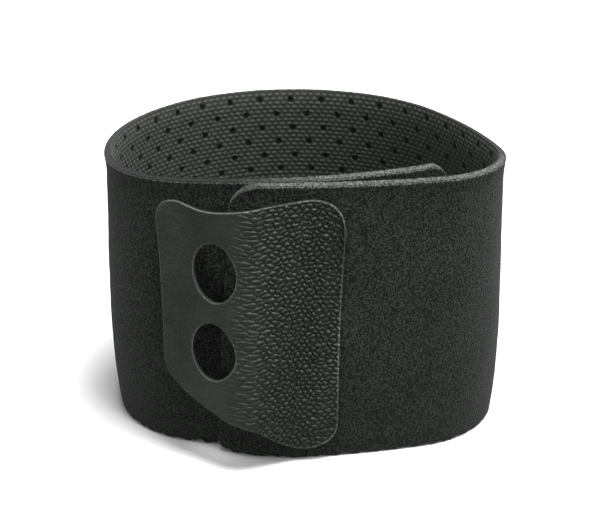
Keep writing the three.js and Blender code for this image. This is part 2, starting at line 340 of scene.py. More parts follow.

# %% [markdown]
# ### Pile
#
# The outside is a knit whose surface is brushed into a dense velvet, for hooks to grip. It is
# black, with a fine salt-and-pepper of lit and shaded tufts about 0.5 mm wide, and it grows
# paler where it is seen edge on. Sheen gives that pale edge, and noise at the tufts' size, in
# the colour and in the bump, gives the speckle. Where the knife tore the tufts, along the rim,
# they are paler, and the mesh stores a value from 0 to 1 for that. The same value is painted
# shade as well: it dims the rim over the left half and the back, where the lamp reaches it less.
# Combed strands would be truer close by, but half a million of them would look no different
# from here.

# %% Pile finish
pile, shader, place = start_material("pile_velvet", 0.95, 0.1, 0.1)
tufts = place.noise(0.0005, 2.0, 0.6)
patches = place.noise(0.012, 2.0)
level = (tufts - 0.5) * 6.5 + 0.42 + (patches - 0.5) * 0.5
velvet = level.rise(0.0, 1.0).between(grey(0.001), grey(0.038))
# pale torn fuzz on the rim; the value mixing it in also paints shade on the left half and back
fuzz = level.rise(0.0, 1.0).between(grey(0.012, 1.08), grey(0.11, 1.08))
feed(pile, attribute(pile, "fray_and_shade").between(velvet, fuzz), shader, "Base Color")
feed(pile, bump(tufts, 0.0005), shader, "Normal")
report(pile)

# %% [markdown]
# ### Foam edge
#
# The laminate's cut edges show the foam rubber, furred over with torn fibres from both knits.
# Where hands have rubbed it, it is much paler than the faces, with a grain of about 0.5 mm. The
# same value as the pile's says where, and it is painted shade as well: it dims the rim over the
# left half and the back, where the lamp reaches it less. It shows only as a thin line, so its
# pores are noise.

# %% Foam finish
foam, shader, place = start_material("foam_edge", 0.95, 0.1, 0.12)
grain = place.noise(0.00055, 3.0, 0.7)
# the rim's paleness: wear near both ends, and painted shade where it fades along the loop
fray_and_shade = attribute(foam, "fray_and_shade")
level = grain.rise(0.3, 0.7) * (0.04 + fray_and_shade * 0.96)
feed(foam, level.between(grey(0.004, 1.08), grey(0.17, 1.08)), shader, "Base Color")
feed(foam, bump(grain, 0.0006), shader, "Normal")
report(foam)

# %% [markdown]
# ### Lining
#
# The inside is a smooth knit, hot-pressed into rows of short raised bars and punched with small
# holes. Bars and holes are real shapes in the mesh, which also stores how high a bar stands as
# "bar" and what lies in a hole as "pit". The material adds a fine thread grain, paints the raised
# bars lighter and the grooves darker, as painted light and shade, and darkens the holes, whose
# walls catch no light.

# %% Lining finish
lining, shader, place = start_material("lining_knit", 0.85, 0.04, 0.18)
threads = place.noise(0.00022, 2.0, 0.6)
# painted light and shade: raised bars are painted lighter and the grooves between them darker
shade = threads.rise(0.2, 0.8) * 0.35 + attribute(lining, "bar") * 0.5 + 0.12
knit = shade.rise(0.1, 0.9).between(grey(0.009, 1.13), grey(0.093, 1.13))
feed(lining, attribute(lining, "pit").between(knit, grey(0.001)), shader, "Base Color")
feed(lining, bump(threads, 0.00012, 0.5), shader, "Normal")
report(lining)

# %% [markdown]
# ### Leather
#
# The tab is black leather with a pebbled grain. The pebbles are real relief in the mesh, which
# stores four values for the material to read: "dome", the pebbles' height, which bumps and, as
# painted shade, darkens the pebbles' bodies; the pebbles' upper shoulders, which carry a painted
# highlight, as if a lamp above lit them; "cut", the raw edge, which is pale leather and carries a
# painted highlight where it is brightest, at the right; and "wall", the inside of the cut, which
# is dark. The material adds pores of 0.3 mm and a change of gloss.

# %% Leather finish
leather, shader, place = start_material("leather_grain", 0.5, 0.0, 0.12)
pores = place.noise(0.0003, 3.0, 0.6)
cloud = place.noise(0.006, 2.0)
dome = attribute(leather, "dome")
painted_highlight = attribute(leather, "painted_highlight")
cut = attribute(leather, "cut")
wall = attribute(leather, "wall")
# painted shade: the higher a pebble's dome, the darker its body, as if only its top were lit
body = (pores.rise(0.25, 0.75) * 0.24 + cloud.rise(0.2, 0.8) * 0.06) * (1.0 - dome * 0.3)
# painted highlight: the pebbles' upper shoulders are painted pale, as if lit by a lamp above
shade = body * (1.0 - wall * 0.65) + painted_highlight * 0.9
skin = shade.between(grey(0.001), grey(0.13))
# the pale raw edge: partly the leather's own colour, partly a painted highlight on its lit sides
feed(leather, cut.between(skin, grey(0.2)), shader, "Base Color")
feed(leather, 0.36 + pores * 0.2 + cut * 0.3, shader, "Roughness")
feed(leather, bump(pores * 0.3 + dome, 0.0011), shader, "Normal")
report(leather)

# %% [markdown]
# ### Hook tape
#
# The tape under the outer end is moulded nylon: black, slightly glossy, with a faint mottle
# where the nylon flowed into the mould. Noise gives the mottle, in colour and in gloss.

# %% Hook finish
hook, shader, place = start_material("hook_nylon", 0.45, 0.0, 0.5)
mottle = place.noise(0.0008, 2.0)
feed(hook, mottle.between(grey(0.012), grey(0.026)), shader, "Base Color")
feed(hook, 0.35 + mottle * 0.2, shader, "Roughness")
report(hook)

# %% [markdown]
# ## Closed sheets
#
# Each layer of the strap is a thin sheet with a face that shows and a back that doesn't. Both
# faces are grids of points worked out at once with numpy. The back may be coarser than the
# face, which saves triangles where nobody looks, and a wall of triangles along the border joins
# the two, so that the piece is a closed solid.


# %% Build a closed sheet
def grid_quads(columns, rows, first=0):
    """Quads of a grid of (columns + 1) * (rows + 1) points, facing along d/dz x d/ds."""
    i, j = np.meshgrid(np.arange(columns), np.arange(rows), indexing="ij")
    a = first + i * (rows + 1) + j
    return np.stack([a, a + 1, a + rows + 2, a + rows + 1], -1).reshape(-1, 4)


def border(columns, rows):
    """Indices of a grid's border points, once round, against the face's own winding."""
    at = np.arange((columns + 1) * (rows + 1)).reshape(columns + 1, rows + 1)
    return np.concatenate([at[:-1, 0], at[-1, :-1], at[:0:-1, -1], at[0, :0:-1]])


def closed_sheet(face, back, step):
    """Points and faces of a closed sheet.

    face is a grid of points. back is the grid of every step-th point, on the other side. Along
    the border each back edge meets step face edges: a fan from its first point takes the first
    half of them, a fan from its second point the rest, and one triangle lies between.
    """
    m, n = face.shape[0] - 1, face.shape[1] - 1
    p, q = back.shape[0] - 1, back.shape[1] - 1
    base = (m + 1) * (n + 1)
    quads = np.concatenate([grid_quads(m, n), grid_quads(p, q, base)[:, ::-1]])
    fine = border(m, n)
    coarse = border(p, q) + base
    here = np.arange(len(fine))
    nearest = coarse[((here % step >= step / 2) + here // step) % len(coarse)]
    fans = np.stack([fine, np.roll(fine, -1), nearest], -1)
    middle = fine[(np.arange(len(coarse)) * step + (step + 1) // 2) % len(fine)]
    links = np.stack([coarse, middle, np.roll(coarse, -1)], -1)
    points = np.concatenate([face.reshape(-1, 3), back.reshape(-1, 3)])
    return points, [quads, fans, links]


print("one quad of a grid with a single cell:", grid_quads(1, 1)[0])

# %% [markdown]
# ### From arrays to a piece
#
# Blender takes a mesh's points and faces as flat arrays, which is much faster than adding them
# one by one. The object stays at the origin, unturned, and its place is in its points. Values
# stored on the points reach the material by their names.


# %% Add a piece
def add_piece(name, points, faces, material, values=None, sharp=40.0):
    """A Blender mesh from arrays, with its values stored on the points; object at the origin."""
    mesh = bpy.data.meshes.new(name)
    sizes = np.concatenate([np.full(len(f), f.shape[1]) for f in faces])
    corners = np.concatenate([f.reshape(-1) for f in faces])
    mesh.vertices.add(len(points))
    mesh.vertices.foreach_set("co", points.reshape(-1).astype(np.float32))
    mesh.loops.add(len(corners))
    mesh.loops.foreach_set("vertex_index", corners.astype(np.int32))
    mesh.polygons.add(len(sizes))
    starts = np.concatenate([[0], np.cumsum(sizes)[:-1]])
    mesh.polygons.foreach_set("loop_start", starts.astype(np.int32))
    mesh.update(calc_edges=True)
    mesh.validate()
    mesh.polygons.foreach_set("use_smooth", np.ones(len(mesh.polygons), bool))
    mesh.set_sharp_from_angle(angle=math.radians(sharp))
    for key, value in (values or {}).items():
        stored = mesh.attributes.new(key, "FLOAT", "POINT")
        stored.data.foreach_set("value", value.astype(np.float32))
    mesh.materials.append(material)
    piece = bpy.data.objects.new(name, mesh)
    bpy.context.scene.collection.objects.link(piece)
    triangles = int((sizes - 2).sum())
    print(f"{name}: {len(points)} points, {triangles} triangles")
    return piece


print("CAD meshes before the first piece:", len(bpy.data.meshes))

# %% [markdown]
# ## Edges of the strip
#
# The strip's corners are die-cut: to a radius of 8 mm at the outer end's top, where the eye
# falls on it, 5 mm at the inner end and 3 mm at the outer end's foot. The knife leaves small
# nicks along the lower edge, and it came in at a slant along the upper one, so the rim slopes
# down from the lining to the pile. A point's distance from the cut edge decides how far each
# face has rolled over, and how torn it is.

# %% Numbers of the cut
END_CORNER = 8.0
INNER_CORNER = 5.0
SHARP_CORNER = 3.0
BEVEL = 0.85
BEVEL_HEIGHT = 4.0
NICK = {"pitch": 5.2, "depth": 0.9, "slope": 2.2, "step": 0.4, "seed": 3}
LINING_FACE = -1.2
PILE_FACE = 1.2
LINING_ROLL = 0.3
FOAM_ROLL = 0.12
PILE_ROLL = 0.3
print("the rim slopes down by", BEVEL, "mm")


# %% Corners and nicks
def smooth(low, high, value):
    """0 at low and beyond, 1 at high and beyond, 3 t^2 - 2 t^3 between; low may be the larger."""
    t = np.clip((value - low) / (high - low), 0, 1)
    return t * t * (3 - 2 * t)


def ripple(s, waves):
    """A sum of sines along the strip; waves is a list of (length, height, phase)."""
    return sum(h * np.sin(2 * np.pi * s / length + phase) for length, h, phase in waves)


def nicks(s):
    """Height of the nicks at s: one at a random place in each stretch of a pitch.

    On one side of its deepest point a nick fades as exp(-run / slope), on the other as
    exp(-run / step), which is steep.
    """
    random = np.random.default_rng(NICK["seed"])
    count = int(STRIP_LENGTH / NICK["pitch"]) + 2
    where = (np.arange(count) + random.uniform(0.15, 0.85, count)) * NICK["pitch"]
    deep = NICK["depth"] * random.uniform(0.3, 1.0, count)
    which = np.clip((s / NICK["pitch"]).astype(int), 0, count - 1)
    run = s - where[which]
    return deep[which] * np.where(run > 0, np.exp(-run / NICK["slope"]), np.exp(run / NICK["step"]))


def drawn_in(radius, from_end):
    """How far a corner's circle draws an edge in, at a distance from the end."""
    reach = np.clip(radius - from_end, 0, radius)
    return radius - np.sqrt(radius**2 - reach**2)


def strip_heights(s, setback):
    """Lowest and highest z at s: the corners' circles, the nicks and a slight unevenness."""
    to_end = STRIP_LENGTH - s
    low = drawn_in(INNER_CORNER, s) + drawn_in(SHARP_CORNER, to_end) + setback
    high = BAND_HEIGHT - drawn_in(INNER_CORNER, s) - drawn_in(END_CORNER, to_end) - setback
    uneven = ripple(s, [(3.1, 0.03, 0.4), (1.9, 0.03, 2.0)])
    rough = 0.15 + ripple(s, [(2.7, 0.07, 1.0), (1.6, 0.05, 0.3)])
    return low + nicks(s) + rough, high - 0.05 + uneven


def edge_distance(s, z, low, high, setback):
    """Distance to the nearest cut edge; in a corner it is the radius less that from its centre."""
    along = np.minimum(s, STRIP_LENGTH - s) - setback
    up = np.minimum(z - low, high - z)
    square_z = np.minimum(z, BAND_HEIGHT - z)
    radius = np.where(s < STRIP_LENGTH / 2, INNER_CORNER, END_CORNER)
    corner = radius - np.hypot(radius - along, radius - square_z)
    in_corner = (along < radius) & (square_z < radius)
    in_corner &= (s < STRIP_LENGTH / 2) | (z > BAND_HEIGHT / 2)
    return np.maximum(np.where(in_corner, corner, np.minimum(along, up)), 0)


print("highest nick:", nicks(np.arange(0.0, STRIP_LENGTH, 0.1)).max().round(2), "mm")

# %% [markdown]
# ### Slant, wear with painted shade, and roundness
#
# Each of these functions gives one quantity for places on the strip. The three layers share
# them, so that their rims agree, as they do on one piece of cloth cut in one stroke.


# %% Slant, wear with painted shade, and roundness
def bevelled(z, offset):
    """z drawn down near the upper edge: the knife's cut slopes by BEVEL from lining to pile."""
    drop = BEVEL * (offset - LINING_FACE) / (PILE_FACE - LINING_FACE)
    return z - drop * smooth(BAND_HEIGHT - BEVEL_HEIGHT, BAND_HEIGHT, z)


def rim_wear_and_shade(s, z):
    """How pale the cut is: torn fibres, and painted shade in how it fades.

    It is 1 along the upper rim near both ends, where hands pull at it and the lamp falls. It fades
    out, as painted shade, over the left half and the back, where the lamp reaches the rim less, and
    also down the outer end's own edge and below.
    """
    # painted shade: the rim's paleness fades over the left half and the back, away from the lamp
    along = 1 - 0.97 * smooth(30.0, 60.0, s) * smooth(292.0, 278.0, s)
    corner = 0.3 + 0.7 * smooth(STRIP_LENGTH - 3, STRIP_LENGTH - 14, s)
    return along * corner * smooth(55.0, 73.0, z)


def rolled(distance, radius):
    """How far a face has sunk towards the middle at a distance from the cut: a quarter circle."""
    t = np.clip(1 - distance / radius, 0, 1)
    return radius * (1 - np.sqrt(1 - t * t))


# the printed values are the rim's paleness: wear and painted shade together
print("wear at the inner end and the back:", rim_wear_and_shade(np.array([5.0, 180.0]), BAND_HEIGHT))

# %% [markdown]
# ## Grid lines
#
# The grid's columns are evenly spaced except at the strip's two ends, where they crowd together
# to follow the round corners, and its rows crowd together at the upper and lower edge, where
# the face rolls over.


# %% Columns and rows
def columns_between(start, end, spacing, step):
    """Distances along the strip, a multiple of step of them, crowded at the strip's own ends."""
    t = np.linspace(0, 1, step * max(1, round((end - start) / spacing / step)) + 1)
    s = start + (end - start) * t
    if start < END_CORNER:
        u = np.clip(s / (2 * END_CORNER), 0, 1)
        s = np.where(s < 2 * END_CORNER, start + (2 * END_CORNER - start) * u * u * (2 - u), s)
    if end > STRIP_LENGTH - END_CORNER:
        left = STRIP_LENGTH - s
        u = np.clip(left / (2 * END_CORNER), 0, 1)
        crowded = end - (2 * END_CORNER - (STRIP_LENGTH - end)) * u * u * (2 - u)
        s = np.where(left < 2 * END_CORNER, crowded, s)
    return s


def rows_between(spacing, step):
    """Row places from 0 to 1, a multiple of step of them, crowded at both edges."""
    edge = np.array([0.0, 0.04, 0.12, 0.24, 0.42]) / BAND_HEIGHT
    inner = 0.66 / BAND_HEIGHT
    count = round((BAND_HEIGHT - 1.32) / spacing)
    total = count + 2 * len(edge)
    count += (-total) % step
    middle = np.linspace(inner, 1 - inner, count + 1)
    return np.concatenate([edge, middle, 1 - edge[::-1]])


def strip_grid(start, end, spacing, row_spacing, step, setback):
    """Grids of s, z and distance from the cut edge for a stretch of the strip."""
    s = columns_between(start, end, spacing, step)[:, None]
    t = rows_between(row_spacing, step)[None, :]
    low, high = strip_heights(s, setback)
    z = low + (high - low) * t
    s = np.broadcast_to(s, z.shape)
    return s, z, edge_distance(s, z, low, high, setback)


print("pile rows:", len(rows_between(0.42, 6)))

# %% [markdown]
# ## Where the strip bends
#
# The strip is one cloth, but it crosses three lines where it bends when the band is opened. A
# piece can bend between two bodies only, so the strip is cut into stretches that cross one line
# each. The cuts lie in parts that stay stiff, where a butt joint doesn't show. A stretch across a
# line is baked in place, on no body.

# %% Stretches of the strip
SEAM_GAP = 0.01
BENDS = {
    "inner_end": (33.0, 11.0, "inner_end", "band"),
    "right_bend": (290.0, 9.0, "band", "front_panel"),
    "closure": (332.0, 5.0, "front_panel", "closure_end"),
}
STRETCHES = {
    "overlap": (0.0, 80.0, "inner_end"),
    "back_left": (80.0, 172.0, None),
    "back_right": (172.0, 265.0, None),
    "right_bend": (265.0, 311.0, "right_bend"),
    "front": (311.0, STRIP_LENGTH, "closure"),
}


def trimmed(start, end, setback):
    """The stretch less half a seam at a cut, or less the skin's setback at the strip's ends."""
    first = start + (setback if start == 0 else SEAM_GAP / 2)
    last = end - (setback if end == STRIP_LENGTH else SEAM_GAP / 2)
    return first, last


def attach(piece, bend, layer):
    """A stretch without a bend rides on the band; one across a bend is baked in place. Either way
    the CAD nodes that it stands for are hidden.
    """
    if bend is None:
        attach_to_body(piece, "band")
        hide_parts("band_" + layer)
        return
    line, reach, before, after = BENDS[bend]
    middle = BAND_HEIGHT / 2
    begin = strip_point(line - reach, middle, 0.0)
    finish = strip_point(line + reach, middle, 0.0)
    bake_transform(piece)
    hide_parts(before + "_" + layer, after + "_" + layer)


print("stretches:", list(STRETCHES))

# %% [markdown]
# ## Lining
#
# Inside, bars 2.1 mm long stand 0.2 mm proud in rows 1.3 mm apart. Each row is shifted by half a
# bar, like bricks, and wavers a little. Holes 1.8 mm wide are punched 9.5 mm apart in rows
# 4.35 mm apart, also shifted by half a step. Copies of a bar could be strewn on a plain sheet,
# but pressed cloth is one skin, so all of it is one height function of s and z, evaluated on a
# grid with six columns to a bar.

# %% Lining pieces
BAR_LENGTH = 2.1
BAR_PITCH = 1.3
BAR_HEIGHT = 0.2
HOLE_PITCH = (9.5, 4.35)
HOLE_RADIUS = 0.92
HOLE_DEPTH = 0.385
DEEPEST = 0.5
LINING_BACK = -0.66


def bars(s, z):
    """0 in the grooves to 1 on the bars: a product of two raised cosines, flattened by a power."""
    row = z / BAR_PITCH
    along = s / BAR_LENGTH + 0.5 * np.mod(np.floor(row), 2)
    along = along + 0.07 * np.sin(1.9 * s + 4.0 * np.floor(row)) + 0.05 * np.sin(7.3 * row)
    lengthwise = (0.5 - 0.5 * np.cos(2 * np.pi * along)) ** 0.6
    upwards = (0.5 - 0.5 * np.cos(2 * np.pi * row)) ** 0.65
    return lengthwise * upwards


def holes(s, z):
    """1 inside a punched hole and 0 outside, from the distance to the nearest hole's centre."""
    row = np.round(z / HOLE_PITCH[1] - 0.5)
    dz = z - (row + 0.5) * HOLE_PITCH[1]
    along = s / HOLE_PITCH[0] - 0.5 * np.mod(row, 2)
    ds = (along - np.round(along)) * HOLE_PITCH[0]
    return 1 - smooth(HOLE_RADIUS - 0.2, HOLE_RADIUS + 0.15, np.hypot(ds, dz))


for name, (start, end, bend) in STRETCHES.items():
    setback = 0.12
    first, last = trimmed(start, end, setback)
    s, z, cut = strip_grid(first, last, BAR_LENGTH / 6, BAR_PITCH / 5, 6, setback)
    bar_height = bars(s, z) * smooth(0.0, 0.4, cut)
    pit_depth = holes(s, z) * smooth(0.8, 1.6, cut)
    sunk = BAR_HEIGHT * (1 - bar_height * (1 - pit_depth)) + HOLE_DEPTH * pit_depth
    sunk = sunk + rolled(cut, LINING_ROLL) * 0.8
    face = strip_point(s, z, LINING_FACE + np.minimum(sunk, DEEPEST))
    back = strip_point(s[::6, ::6], z[::6, ::6], LINING_BACK)
    # the lining faces inwards, so its grid is walked the other way along the strip
    points, faces = closed_sheet(face[::-1], back[::-1], 6)
    values = {
        "bar": np.concatenate([bar_height[::-1].ravel(), np.zeros(back[..., 0].size)]),
        "pit": np.concatenate([pit_depth[::-1].ravel(), np.zeros(back[..., 0].size)]),
    }
    piece = add_piece("lining_" + name, points, faces, lining, values)
    attach(piece, bend, "lining")

# %% [markdown]
# ## Foam
#
# Only the foam's cut edges show, as the pale line along the rims, so its faces are coarse. Its
# edges are barely rounded, so that it meets both knits without a groove.

# %% Foam pieces
FOAM_HALF = 0.64


def foam_rows():
    """Rows for a sheet that shows only at its edges, from 0 to 1."""
    edge = np.array([0.0, 0.05, 0.14, 0.28, 0.46, 0.7, 1.0, 1.6]) / BAND_HEIGHT
    middle = np.linspace(3.0 / BAND_HEIGHT, 1 - 3.0 / BAND_HEIGHT, 9)
    return np.concatenate([edge, middle, 1 - edge[::-1]])


for name, (start, end, bend) in STRETCHES.items():
    first, last = trimmed(start, end, 0.0)
    s = columns_between(first, last, 0.5, 1)[:, None]
    low, high = strip_heights(s, 0.0)
    z = low + (high - low) * foam_rows()[None, :]
    s = np.broadcast_to(s, z.shape)
    cut = edge_distance(s, z, low, high, 0.0)
    half = FOAM_HALF - rolled(cut, FOAM_ROLL)
    face = strip_point(s, bevelled(z, FOAM_HALF), half)
    back = strip_point(s, bevelled(z, -FOAM_HALF), -half)
    points, faces = closed_sheet(face, back, 1)
    # pale torn rim, with painted shade where it fades over the left half and the back
    values = {"fray_and_shade": np.tile(rim_wear_and_shade(s, z).ravel(), 2)}
    piece = add_piece("foam_" + name, points, faces, foam, values)
    attach(piece, bend, "foam")

# %% [markdown]
# ## Pile
#
# The velvet face follows the strip with a slow unevenness of a tenth of a millimetre, as a
# brushed knit on foam has. Its tufts are finer than the grid, so they are left to the material.

# %% Pile pieces
PILE_BACK = 0.66

for name, (start, end, bend) in STRETCHES.items():
    setback = 0.1
    first, last = trimmed(start, end, setback)
    s, z, cut = strip_grid(first, last, 0.42, 0.42, 6, setback)
    uneven = ripple(s + 0.3 * z, [(23.0, 0.04, 0.0), (9.0, 0.02, 1.0)])
    uneven = uneven + ripple(z + 0.2 * s, [(17.0, 0.03, 2.0), (6.1, 0.015, 0.5)])
    out = PILE_FACE - 0.1 + uneven * smooth(0, 3, cut) - rolled(cut, PILE_ROLL)
    face = strip_point(s, bevelled(z, PILE_FACE), out)
    back_z = bevelled(z[::6, ::6], PILE_BACK)
    back = strip_point(s[::6, ::6], back_z, PILE_BACK)
    points, faces = closed_sheet(face, back, 6)
    # torn tufts on the rim, with painted shade where they fade over the left half and the back
    torn_and_shaded = smooth(0.7, 0.2, cut) * rim_wear_and_shade(s, z)
    values = {"fray_and_shade": np.concatenate([torn_and_shaded.ravel(), torn_and_shaded[::6, ::6].ravel()])}
    piece = add_piece("pile_" + name, points, faces, pile, values)
    attach(piece, bend, "pile")

# %% [markdown]
# ## Pull tab
#
# The leather is die-cut: wide and round where it is bonded, narrower where it is pulled, with
# two finger holes. From the line where it leaves the band it follows a bend of its own. Its
# places are measured like the strip's, with u along the tab instead of s. The outline is drawn
# flat, as the die would be, and the sheet is bent afterwards.

# %% Tab numbers
RELEASE_AT = STRIP_LENGTH - 22.0
TAB_LEFT = -43.5
TAB_RIGHT = 9.2
LEATHER = 1.2
GLUE = 0.2
TAB_MIDDLE = PILE_FACE + GLUE + LEATHER / 2
BEND_LENGTHS = (4.0, 10.5, 7.0, 13.0, 5.0, 8.0)
BEND_TURNS = tuple(math.radians(a) for a in (-25, 0, 63, 0, -36, 0))
FREE_CUT = (0.04, 0.054)
BONDED_CUT = (0.16, -0.06)
FINGER_HOLE = {"u": -27.0, "half_width": 6.7, "half_height": 7.5, "z": (32.6, 53.0)}


def tab_plan(start, turns, along):
    """The tab's plan: beside the strip where it is bonded, on its own arcs where it is free."""
    on_strip = walk(start, ARC_LENGTHS, turns, RELEASE_AT - np.maximum(along, 0))
    bonded = sideways(on_strip, TAB_MIDDLE)
    return walk(bonded, BEND_LENGTHS, BEND_TURNS, np.maximum(-along, 0))


def tab_point(u, z, offset):
    """The tab at u along it, z up and offset outwards; both ends are cut slightly hollow."""
    u, z, offset = np.broadcast_arrays(np.asarray(u, float), z, offset)
    level = 2 * z / BAND_HEIGHT - 1
    hollow = np.where(u < 0, FREE_CUT[0], BONDED_CUT[0])
    slant = np.where(u < 0, FREE_CUT[1], BONDED_CUT[1])
    along = u * (1 - hollow * (1 - level * level) + slant * level)
    bottom = tab_plan(BOTTOM_START, TURNS_BOTTOM, along)
    return on_wall(bottom, tab_plan(TOP_START, TURNS_TOP, along), z, offset)


def bezier(*controls):
    """Points of a Bezier curve: each round takes the mean of neighbours, weighted by t."""
    t = np.linspace(0, 1, 40)[:, None]
    points = [np.array(c, float)[None, :] for c in controls]
    while len(points) > 1:
        points = [a * (1 - t) + b * t for a, b in zip(points, points[1:])]
    return points[0]


TAB_UPPER = np.concatenate([
    bezier((TAB_LEFT, 64.5), (TAB_LEFT, 68.6), (-41.2, 70.6), (-37.6, 69.6)),
    bezier((-37.6, 69.6), (-33.6, 67.7), (-29.6, 67.8), (-25, 68.7)),
    bezier((-25, 68.7), (-19.4, 69.8), (-16.6, 71), (-11.4, 70.9)),
    bezier((-1, 71), (4.4, 70.8), (TAB_RIGHT, 68.2), (TAB_RIGHT, 60)),
])
TAB_LOWER = np.concatenate([
    bezier((TAB_LEFT, 30), (TAB_LEFT, 24.6), (-40.8, 22.2), (-35.6, 19.8)),
    bezier((-35.6, 19.8), (-29, 16.4), (-21.4, 15.5), (-15, 11.5)),
    bezier((-15, 11.5), (-9.4, 8), (-3.9, 3.7), (0.3, 3.7)),
    bezier((0.3, 3.7), (5, 3.7), (TAB_RIGHT, 5.8), (TAB_RIGHT, 12)),
])
tab_height = TAB_UPPER[:, 1].max() - TAB_LOWER[:, 1].min()
print("tab:", TAB_RIGHT - TAB_LEFT, "by", tab_height.round(2), "mm")

# %% [markdown]
# ### Pebbled grain
#
# Pebbles are the cells of a random honeycomb. With F1 and F2 the distances to the nearest and
# the second nearest of a cloud of seeds, F2 - F1 is zero along the creases and grows towards a
# pebble's middle, so a parabola of it gives domes with sharp valleys. The seeds sit on a
# staggered lattice with some jitter, wider than it is high, and each pebble stands higher at
# its upper side, so that they lap like shingles. On the real tab the grain is bold where the
# leather is bonded. Towards the pull end, pulling has stretched it into long wrinkles and then
# smooth, so there the lattice is stretched along the tab and the relief fades out.


# %% Grain height
STRETCHED = (-26.0, -6.0)
GRAIN_FADE = (-25.0, -9.0)
GRAIN_DEPTH = 0.3
PEBBLE = (2.0, 1.15)
FINE_PEBBLE = (0.9, 0.6)


def stretch(u):
    """Distance along the tab before it was pulled: its slope falls from 1 to 0.35 to the left."""
    at = np.linspace(TAB_LEFT - 1, TAB_RIGHT + 1, 400)
    slope = 0.35 + 0.65 * smooth(*STRETCHED, at)
    return np.interp(u, at, np.cumsum(slope) * (at[1] - at[0]))


def pebbles(u, z, size, seed):
    """Dome height from 0, in the creases, to about 1, from the two nearest seeds of a lattice.

    size is the lattice's pitch along the tab and up it. The loops run over the nine lattice
    cells round each point, which hold its two nearest seeds.
    """
    random = np.random.default_rng(seed)
    x = u / size[0] + 100
    y = z / size[1] + 100
    table = random.uniform(-0.3, 0.3, (256, 256, 2))
    nearest = np.full(x.shape, 9.0)
    second = np.full(x.shape, 9.0)
    above = np.zeros(x.shape)
    cell_x = np.floor(x).astype(int)
    cell_y = np.floor(y).astype(int)
    for i in (-1, 0, 1):
        for j in (-1, 0, 1):
            jitter = table[(cell_x + i) % 256, (cell_y + j) % 256]
            stagger = 0.5 * np.mod(cell_y + j, 2)
            dx = cell_x + i + 0.25 + stagger + jitter[..., 0] - x
            dy = cell_y + j + 0.5 + jitter[..., 1] - y
            d = np.hypot(dx, dy)
            above = np.where(d < nearest, -dy, above)
            second = np.minimum(second, np.maximum(nearest, d))
            nearest = np.minimum(nearest, d)
    dome = 1 - np.clip(1 - (second - nearest) / 0.55, 0, 1) ** 2
    return dome * (0.75 + 0.45 * np.clip(above, -0.5, 0.5))


print("stretched length:", stretch(np.array([TAB_RIGHT])).round(1), "mm")

# %% [markdown]
# ### Clean holes in a grid
#
# Cutting the holes with a boolean would leave long, thin triangles that spoil the grain round
# them. Here the grid keeps its even cells: those in a hole are dropped, and the points left
# along it are moved on to its outline.


# %% Snap to the holes
def cell_corners(grid):
    """A grid's values at the four corners of each cell, as four grids in a stack."""
    return np.stack([grid[:-1, :-1], grid[1:, :-1], grid[:-1, 1:], grid[1:, 1:]])


def snapped(u, z):
    """Marks the cells to keep and moves points along a hole on to its outline.

    With r = hypot(du / half_width, dz / half_height), a hole is where r < 1, and a point that
    touches both a kept and a dropped cell is moved along its own ray to r = 1.
    """
    keep = np.ones((u.shape[0] - 1, u.shape[1] - 1), bool)
    for centre in FINGER_HOLE["z"]:
        du = (u - FINGER_HOLE["u"]) / FINGER_HOLE["half_width"]
        dz = (z - centre) / FINGER_HOLE["half_height"]
        outside = np.hypot(cell_corners(du).mean(0), cell_corners(dz).mean(0)) > 1
        keep &= outside
        # a point is at the middle of four cells, as a cell is of four points
        around = cell_corners(np.pad(outside, 1, mode="edge"))
        on_edge = around.any(0) & ~around.all(0)
        scale = np.where(on_edge, 1 / np.maximum(np.hypot(du, dz), 1e-6), 1.0)
        u = FINGER_HOLE["u"] + (u - FINGER_HOLE["u"]) * scale
        z = centre + (z - centre) * scale
    return u, z, keep


# %% [markdown]
# ### Distance from the cut
#
# The leather thins and pales towards every cut edge, outer or hole. So each point of the sheet
# needs its distance from the nearest cut, which is measured to closely spaced samples of it.


# %% Outline samples
def distance_to(u, z, outline):
    """Distance from each point to the nearest sample of an outline."""
    nearest = np.full(u.shape, 1e9)
    for a, b in outline:
        nearest = np.minimum(nearest, (u - a) ** 2 + (z - b) ** 2)
    return np.sqrt(nearest)


def resampled(line, spacing):
    """A polyline's points at an even spacing along it."""
    run = np.concatenate([[0], np.cumsum(np.hypot(*np.diff(line, axis=0).T))])
    at = np.linspace(0, run[-1], int(run[-1] / spacing) + 1)
    return np.stack([np.interp(at, run, line[:, 0]), np.interp(at, run, line[:, 1])], -1)


turn = np.linspace(0, 2 * np.pi, 90)
rings = [
    np.stack([
        FINGER_HOLE["u"] + FINGER_HOLE["half_width"] * np.cos(turn),
        centre + FINGER_HOLE["half_height"] * np.sin(turn),
    ], -1)
    for centre in FINGER_HOLE["z"]
]
outer_line = np.concatenate([TAB_UPPER, TAB_LOWER[::-1], TAB_UPPER[:1]])
outline = np.concatenate([resampled(line, 0.15) for line in [outer_line, *rings]])
print("samples along the cuts:", len(outline))

# %% [markdown]
# ### The sheet's two faces
#
# The front carries the grain as real relief. Its steps of about 0.2 mm put ten points along a
# pebble and five up it. Where the leather was stretched smooth they can be wider.

# %% Grid and relief
STEP_U = 0.2
STEP_Z = 0.235

